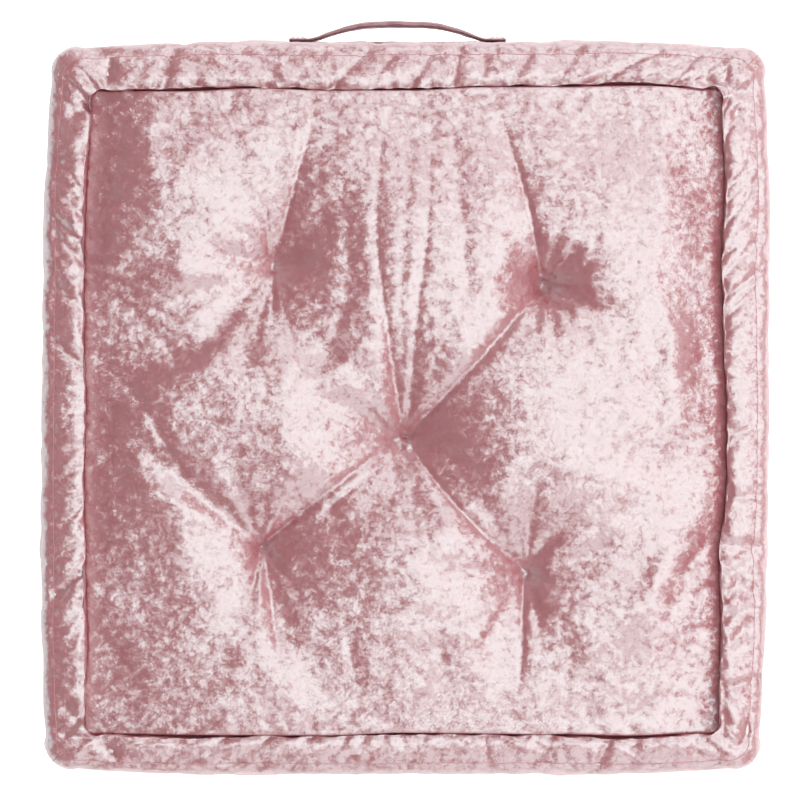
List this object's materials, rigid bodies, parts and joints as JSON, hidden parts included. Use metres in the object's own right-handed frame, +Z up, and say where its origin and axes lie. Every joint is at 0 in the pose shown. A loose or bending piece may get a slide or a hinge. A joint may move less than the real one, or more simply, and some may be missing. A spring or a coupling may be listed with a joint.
{
  "type": "floor cushion",
  "caption": "Square velvet floor cushion with rolled, stitched edges, boxed sides, hand-pulled tufts through the filling and a self-fabric carrying strap on one side.",
  "frame": {"origin": "middle of the whole box, strap included, on the surface that the cushion lies on", "axes": "+Z up from the bottom panel to the tufted crown, +Y towards the side with the carrying strap, +X to the right"},
  "size_m": [0.502, 0.522, 0.103],
  "materials": {
    "velvet": "satin",
    "fibre_fill": "matte",
    "thread": "satin"
  },
  "bodies": {
    "cushion": {"fill_core": "fibre_fill", "top_edge_fill": "fibre_fill", "bottom_edge_fill": "fibre_fill", "top_panel": "velvet", "bottom_panel": "velvet", "boxing_back": "velvet", "boxing_right": "velvet", "boxing_front": "velvet", "boxing_left": "velvet", "handle_end_left": "velvet", "handle_end_right": "velvet", "top_seam_thread": "thread", "bottom_seam_thread": "thread", "top_roll_stitch_panel": "thread", "top_roll_stitch_boxing": "thread", "bottom_roll_stitch_panel": "thread", "bottom_roll_stitch_boxing": "thread", "corner_seam_front_left": "thread", "corner_seam_front_right": "thread", "corner_seam_back_left": "thread", "corner_seam_back_right": "thread", "handle_stitch_left": "thread", "handle_stitch_right": "thread", "tuft_cord_back_left": "thread", "tuft_cord_back_right": "thread", "tuft_cord_centre": "thread", "tuft_cord_front_left": "thread", "tuft_cord_front_right": "thread"},
    "handle": {"handle_strap": "velvet"}
  },
  "joints": [
    {"name": "handle_swing", "type": "hinge", "parent": "cushion", "child": "handle", "pos_m": [-0.0055, 0.25425, 0.049], "axis": [1, 0, 0], "range_deg": [-35, 35], "stiffness_Nm_per_rad": 0.002}
  ]
}
